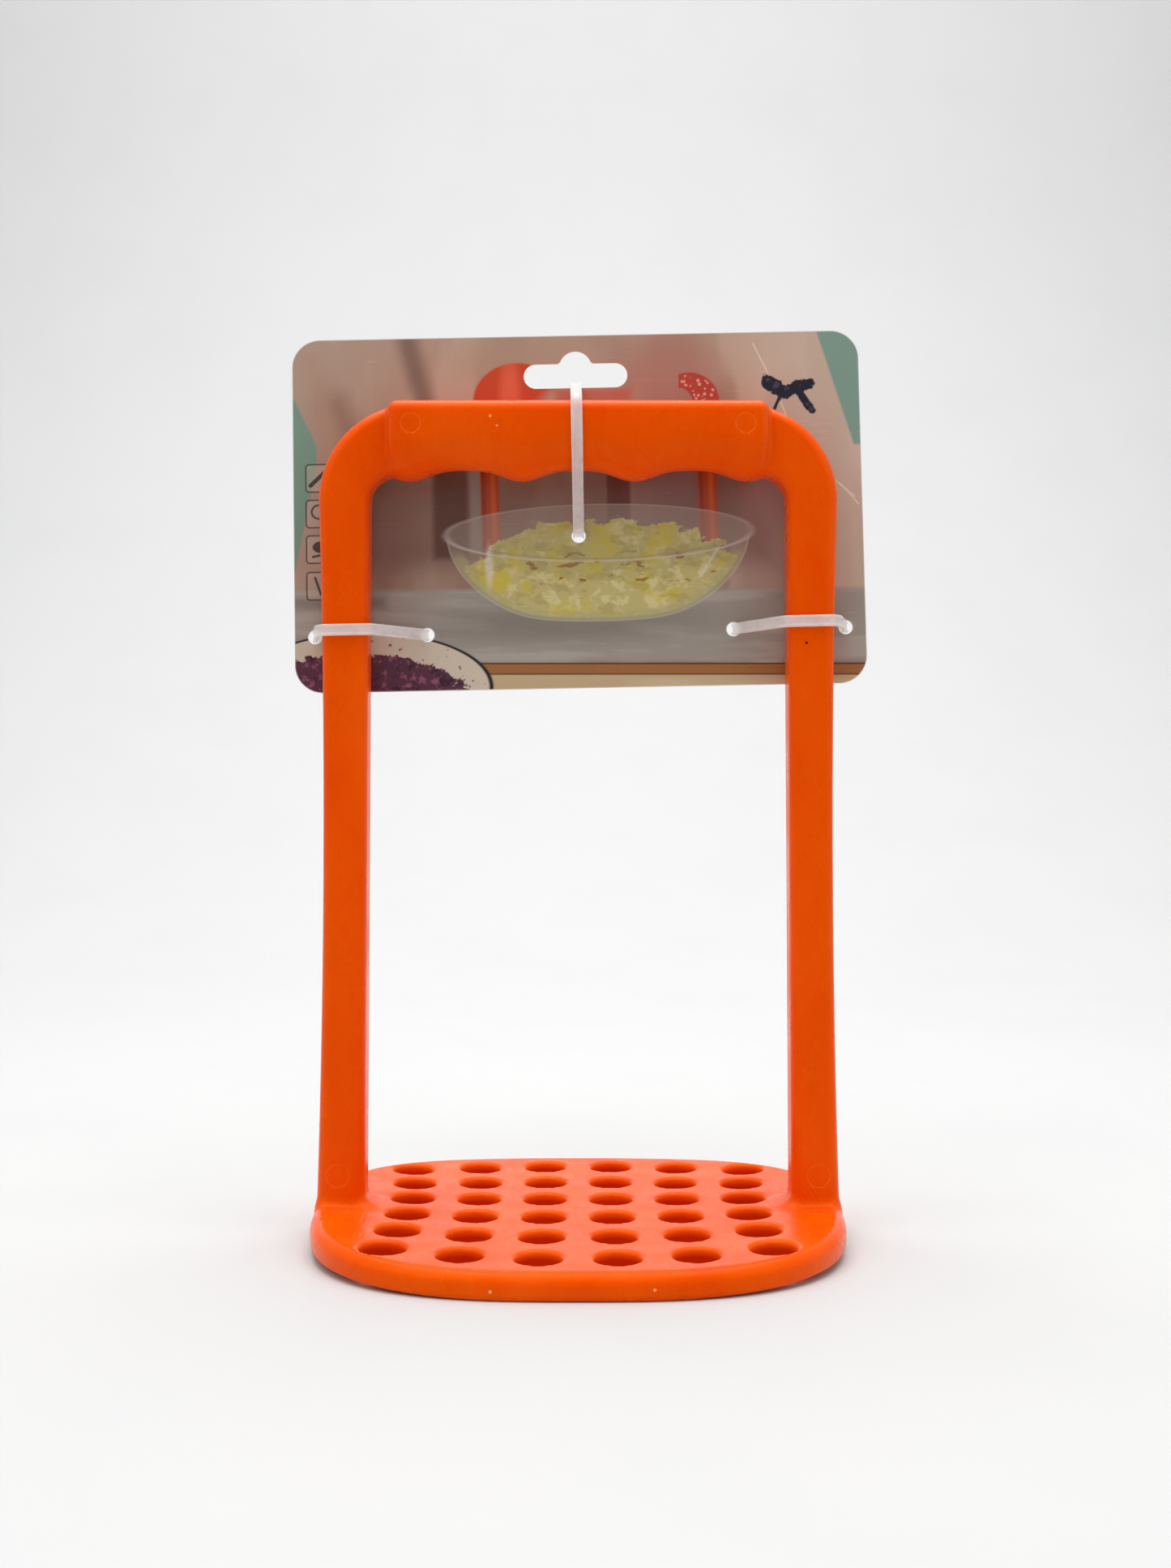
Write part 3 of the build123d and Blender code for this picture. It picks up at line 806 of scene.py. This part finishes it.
def card_points(cell):
    """A flat grid of cells inside the card, with the outer points moved onto its outline."""
    count = [int(np.ceil(size / cell)) + 3 for size in CARD_SIZE]
    axes = [(np.arange(n) - (n - 1) / 2) * cell for n in count]
    gx, gy = np.meshgrid(*axes, indexing="ij")
    within = card_shape(gx, gy) < 0
    full = within[:-1, :-1] & within[1:, :-1] & within[1:, 1:] & within[:-1, 1:]
    i, j = np.nonzero(full)
    first = i * count[1] + j
    quads = np.stack([first, first + count[1], first + count[1] + 1, first + 1], 1)
    names, flat = np.unique(quads, return_inverse=True)
    quads = flat.reshape(quads.shape)
    points = np.stack([gx.ravel()[names], gy.ravel()[names]], 1)
    edges = np.concatenate([quads[:, [k, (k + 1) % 4]] for k in range(4)])
    _, back, times = np.unique(np.sort(edges, 1), axis=0, return_inverse=True, return_counts=True)
    rim = edges[times[back.ravel()] == 1]
    outer = np.unique(rim)
    for _ in range(6):
        spot = points[outer]
        here = card_shape(*spot.T)
        tiny = 0.01
        across = (card_shape(spot[:, 0] + tiny, spot[:, 1]) - here) / tiny
        up = (card_shape(spot[:, 0], spot[:, 1] + tiny) - here) / tiny
        size = np.maximum(across**2 + up**2, 0.2)
        points[outer] -= np.stack([across, up], 1) * (here / size)[:, None]
    return points, quads, rim


def make_card(place):
    points, quads, rim = card_points(CARD_CELL)
    # The laminate has pulled the board into a very slight wave, inside its own thickness
    wave = CARD_WAVE * np.sin(points[:, 0] / 17 + 0.6) * np.cos(points[:, 1] / 26)
    margin = CARD_WAVE + 0.02
    front = np.column_stack([points, wave - margin])
    back = np.column_stack([points, wave + margin - CARD_THICK])
    count = len(points)
    walls = np.stack([rim[:, 0], rim[:, 1], rim[:, 1] + count, rim[:, 0] + count], 1)[:, ::-1]
    faces = np.concatenate([quads, quads[:, ::-1] + count, walls])
    piece = mesh_piece(
        "card",
        np.concatenate([front, back]),
        faces,
        [card_print(place), card_board(place), card_edge(place)],
        place,
    )
    kinds = np.repeat([0, 1, 2], [len(quads), len(quads), len(walls)]).astype(np.int32)
    piece.data.polygons.foreach_set("material_index", kinds)
    piece.data.set_sharp_from_angle(angle=radians(40))
    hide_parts("hang_card")


def rounded_loop(corners, radii):
    """A closed polyline with its corners rounded: its points, and the way out of it at each."""
    corners = [Vector(c) for c in corners]
    middle = sum(corners, Vector((0, 0))) / len(corners)
    points, outs = [], []
    for k, here in enumerate(corners):
        back = (corners[k - 1] - here).normalized()
        on = (corners[(k + 1) % len(corners)] - here).normalized()
        half = back.angle(on) / 2
        centre = here + (back + on).normalized() * radii[k] / sin(half)
        start = here + back * radii[k] / tan(half) - centre
        end = here + on * radii[k] / tan(half) - centre
        sweep = start.angle(end)
        sign = 1 if start.cross(end) > 0 else -1
        steps = max(4, int(sweep * radii[k] / 0.5))
        for t in np.linspace(0, sign * sweep, steps + 1):
            arm_out = Matrix.Rotation(t, 2) @ start
            points.append(centre + arm_out)
            outs.append(arm_out.normalized())
    return points, outs


def subdivided(points, outs, step):
    """The same loop with more points along its straight runs."""
    more, more_out = [], []
    for k in range(len(points)):
        a, b = points[k], points[(k + 1) % len(points)]
        u, v = outs[k], outs[(k + 1) % len(outs)]
        parts = max(1, int((b - a).length / step))
        for t in range(parts):
            more.append(a.lerp(b, t / parts))
            more_out.append(u.lerp(v, t / parts).normalized())
    return more, more_out


# The strap's section: how far across and how far out, as parts of its width and its thickness
STRAP_SECTION = [
    (-0.5, 0.12), (-0.44, 0.02), (-0.3, 0.0), (0.3, 0.0), (0.44, 0.02), (0.5, 0.12),
    (0.5, 0.84), (0.45, 0.97), (0.38, 1.0), (0.31, 0.96), (0.25, 0.74),
    (-0.25, 0.74), (-0.31, 0.96), (-0.38, 1.0), (-0.45, 0.97), (-0.5, 0.84),
]


def strap_mesh(points, outs, closed):
    """A strap with two raised rails, swept round its path; the plane's own third axis is its width."""
    wide, thick = STRAP
    rings = []
    for k, (p, out) in enumerate(zip(points, outs)):
        # Fine ladder teeth on the face that the head grips
        tooth = STRAP_TOOTH * (k % 2)
        for across, up in STRAP_SECTION:
            lift = up * thick + (tooth if up < 0.1 and abs(across) < 0.35 else 0)
            rings.append((p.x + out.x * lift, p.y + out.y * lift, across * wide))
    n, m = len(points), len(STRAP_SECTION)
    faces = []
    for k in range(n if closed else n - 1):
        a, b = k * m, ((k + 1) % n) * m
        for t in range(m):
            s = (t + 1) % m
            faces.append((a + t, a + s, b + s, b + t))
    if not closed:
        faces.append(tuple(range(m)))
        faces.append(tuple(range((n - 1) * m, n * m))[::-1])
    return np.array(rings), faces


def head_shape(p):
    """A tie's head: a rounded block with the strap's tunnel through it and a dimple over the pawl."""
    over = np.abs(p) - np.array(HEAD) / 2 + HEAD_EDGE
    block = np.linalg.norm(np.maximum(over, 0), axis=1) + np.minimum(over.max(1), 0) - HEAD_EDGE
    tunnel = np.maximum(np.abs(p[:, 1] - 0.1) - 0.72, np.abs(p[:, 2]) - 1.4)
    dimple = np.maximum(np.abs(p[:, 0] - 0.3) - 1.2, np.abs(p[:, 2]) - 0.9)
    dimple = np.maximum(dimple, p[:, 1] + 1.1)
    return common(common(block, -tunnel, 0.12), -dimple, 0.15)


def make_tie(name, node, nylon, place, plane, corners, radii, head_at):
    """One tie, as a piece: its loop, the head behind the card, and the cut tail."""
    step = STRAP_STEP
    verts, faces = strap_mesh(*subdivided(*rounded_loop(corners, radii), step), True)
    faces = list(faces)
    length, thick = HEAD[:2]
    block, block_faces = surface_net(head_shape, (-2.7, -2.0, -2.5), (2.7, 2.0, 2.5), HEAD_CELL)
    block = block + np.array((head_at, STRAP_BACK - thick / 2, 0))
    faces += [tuple(f + len(verts)) for f in block_faces]
    verts = np.concatenate([verts, block])
    below = STRAP_BACK - 2.1
    run = [Vector((head_at + t, below)) for t in np.arange(1.8, length / 2 + TAIL, STRAP_STEP)]
    tail, tail_faces = strap_mesh(run, [Vector((0, 1))] * len(run), False)
    faces += [tuple(t + len(verts) for t in f) for f in tail_faces]
    verts = np.concatenate([verts, tail])
    turned = np.array(plane.to_3x3()) @ verts.T
    verts = turned.T + np.array(plane.translation)
    piece = mesh_piece(name, verts, faces, [nylon], place)
    bm = bmesh.new()
    bm.from_mesh(piece.data)
    bmesh.ops.recalc_face_normals(bm, faces=bm.faces)
    bm.to_mesh(piece.data)
    bm.free()
    piece.data.set_sharp_from_angle(angle=radians(50))
    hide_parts(node)


def tie_plane(origin, *axes):
    """Where a tie's loop lies in the card's frame: its axes are the plane's X, its out and its width."""
    plane = Matrix(axes).transposed().to_4x4()
    plane.translation = origin
    return plane


def make_side_tie(nylon, place, side):
    """Round one arm, through the two holes beside it."""
    lean, turn = radians(CARD_LEAN), radians(CARD_TURN)
    front = (CARD_BACK + SIDE_RISE * sin(lean) + ARM_DEPTH / 2) * cos(lean) + STRAP_GAP
    arm_middle = (ARM_WAIST[0] + ARM_IN_HIGH) / 2 + side * SIDE_RISE * sin(turn)
    arm_half = (ARM_WAIST[0] - ARM_IN_HIGH) / 2 + STRAP_GAP + 0.3
    inner, outer = SIDE_HOLES[0] + STRAP[1] / 2, SIDE_HOLES[1] - STRAP[1] / 2
    corners = [
        (side * outer, STRAP_BACK),
        (side * outer, STRAP_GAP),
        (side * (arm_middle + arm_half), front),
        (side * (arm_middle - arm_half), front),
        (side * inner, STRAP_GAP),
        (side * inner, STRAP_BACK),
    ]
    tight = STRAP_CORNER
    radii = [tight, tight, 2.2, 2.2, tight, tight]
    plane = tie_plane((0, SIDE_RISE, 0), (1, 0, 0), (0, 0, 1), (0, -1, 0))
    name = "right" if side > 0 else "left"
    head_at = side * (SIDE_HOLES[0] + SIDE_HOLES[1]) / 2
    make_tie(name + "_band", name + "_tie", nylon, place, plane, corners, radii, head_at)


def make_centre_tie(nylon, place):
    """Round the grip, down from the hang slot and back through the middle hole."""
    lean = radians(CARD_LEAN)
    radius = GRIP_DEPTH / 2 + STRAP_GAP
    centre_z = GRIP_LOW + GROOVE_RISE + GRIP_DEPTH / 2
    hole_y = MIDDLE_RISE + STRAP[1] / 2
    hole = place @ Vector((0, hole_y * MM, STRAP_GAP * MM)) / MM
    away = hypot(hole.y, centre_z - hole.z)
    slope = atan2(hole.y, centre_z - hole.z) + asin(radius / away)
    meet_z = hole.z + (hole.y + radius) / tan(slope)

    def on_card(y, z):
        back, up = y - CARD_BACK, z - CARD_HEIGHT
        return back * sin(lean) + up * cos(lean), up * sin(lean) - back * cos(lean)

    slot_y = SLOT[2] - SLOT[1] / 2 + STRAP_GAP
    corners = [
        (hole_y, STRAP_BACK),
        (hole_y, STRAP_GAP),
        on_card(-radius, meet_z),
        on_card(-radius, GRIP_TOP + STRAP_GAP),
        (slot_y, STRAP_GAP),
        (slot_y, STRAP_BACK),
    ]
    tight = STRAP_CORNER
    radii = [tight, tight, radius, 2.3, tight, tight]
    plane = tie_plane((0, 0, 0), (0, 1, 0), (0, 0, 1), (1, 0, 0))
    make_tie("centre_band", "centre_tie", nylon, place, plane, corners, radii, CENTRE_HEAD_RISE)


# The studio


def make_camera():
    """The photograph's view: level, from just above the middle of the masher."""
    distance, height = 352.3, 100.45
    data = bpy.data.cameras.new("camera")
    data.sensor_fit = "VERTICAL"
    data.sensor_height = 36.0
    data.lens = 38.047
    data.shift_x, data.shift_y = 0.0047, -0.0154
    data.clip_start = 0.01
    camera = bpy.data.objects.new("camera", data)
    camera.location = (0, -distance * MM, height * MM)
    camera.rotation_euler = (pi / 2, 0, 0)
    bpy.context.collection.objects.link(camera)
    bpy.context.scene.camera = camera


WORLD_LEVEL, WORLD_DIM = 0.6, 0.22


def make_world():
    """White all round, and dimmer on the side that the front faces mirror."""
    world = bpy.data.worlds.new("world")
    world.use_nodes = True
    nodes, links = world.node_tree.nodes, world.node_tree.links
    way = nodes.new("ShaderNodeTexCoord")
    split = nodes.new("ShaderNodeSeparateXYZ")
    level = nodes.new("ShaderNodeMapRange")
    level.interpolation_type = "SMOOTHSTEP"
    level.inputs["From Min"].default_value = -0.95
    level.inputs["From Max"].default_value = -0.35
    level.inputs["To Min"].default_value = WORLD_DIM
    level.inputs["To Max"].default_value = WORLD_LEVEL
    links.new(way.outputs["Generated"], split.inputs[0])
    links.new(split.outputs["Y"], level.inputs["Value"])
    links.new(level.outputs["Result"], nodes["Background"].inputs["Strength"])
    nodes["Background"].inputs["Color"].default_value = (0.97, 0.985, 1, 1)
    bpy.context.scene.world = world


def make_floor():
    """A white sheet that runs back and sweeps up behind."""
    start, radius = 0.3, 0.6
    bend = np.linspace(0.05, pi / 2, 24)
    profile = [(-2.4, 0), (start, 0)]
    profile += [(start + radius * sin(a), radius - radius * cos(a)) for a in bend]
    profile += [(start + radius, 1.4)]
    verts = [(x, y, z) for x in (-2.0, 2.0) for y, z in profile]
    n = len(profile)
    mesh = bpy.data.meshes.new("sweep")
    mesh.from_pydata(verts, [], [(k, n + k, n + k + 1, k + 1) for k in range(n - 1)])
    mesh.shade_smooth()
    paper = Look("white_paper", (0.62, 0.62, 0.615, 1), Roughness=0.7)
    paper.paint((0.6, 0.6, 0.6, 1), paper.rise(paper.noise(60, 2), 0.4, 0.7) * 0.4)
    mesh.materials.append(paper.mat)
    floor = bpy.data.objects.new("sweep", mesh)
    bpy.context.collection.objects.link(floor)


def make_lamps():
    """Soft square lamps: each one's place, aim, size and power."""
    lamps = [
        ("key", (-0.6, -0.6, 0.7), (0, 0, 0.1), 0.7, 1.45),
        ("fill", (0.7, -0.55, 0.5), (0, 0, 0.1), 0.7, 1.0),
        ("top", (0, 0.0, 0.9), (0, 0, 0), 1.0, 7.4),
        ("back", (0, 0.2, 1.2), (0, 0.9, 0.45), 0.8, 6.2),
    ]
    for name, spot, aim, size, power in lamps:
        light = bpy.data.lights.new(name, "AREA")
        light.shape = "SQUARE"
        light.size = size
        light.energy = power
        lamp = bpy.data.objects.new(name, light)
        lamp.location = spot
        lamp.rotation_euler = (Vector(aim) - Vector(spot)).to_track_quat("-Z", "Y").to_euler()
        bpy.context.collection.objects.link(lamp)


bpy.context.scene.view_settings.view_transform = "Standard"
make_camera()
make_world()
make_floor()
make_lamps()
make_masher()
card_frame = card_place()
make_card(card_frame)
nylon = clear_nylon()
make_centre_tie(nylon, card_frame)
make_side_tie(nylon, card_frame, 1)
make_side_tie(nylon, card_frame, -1)
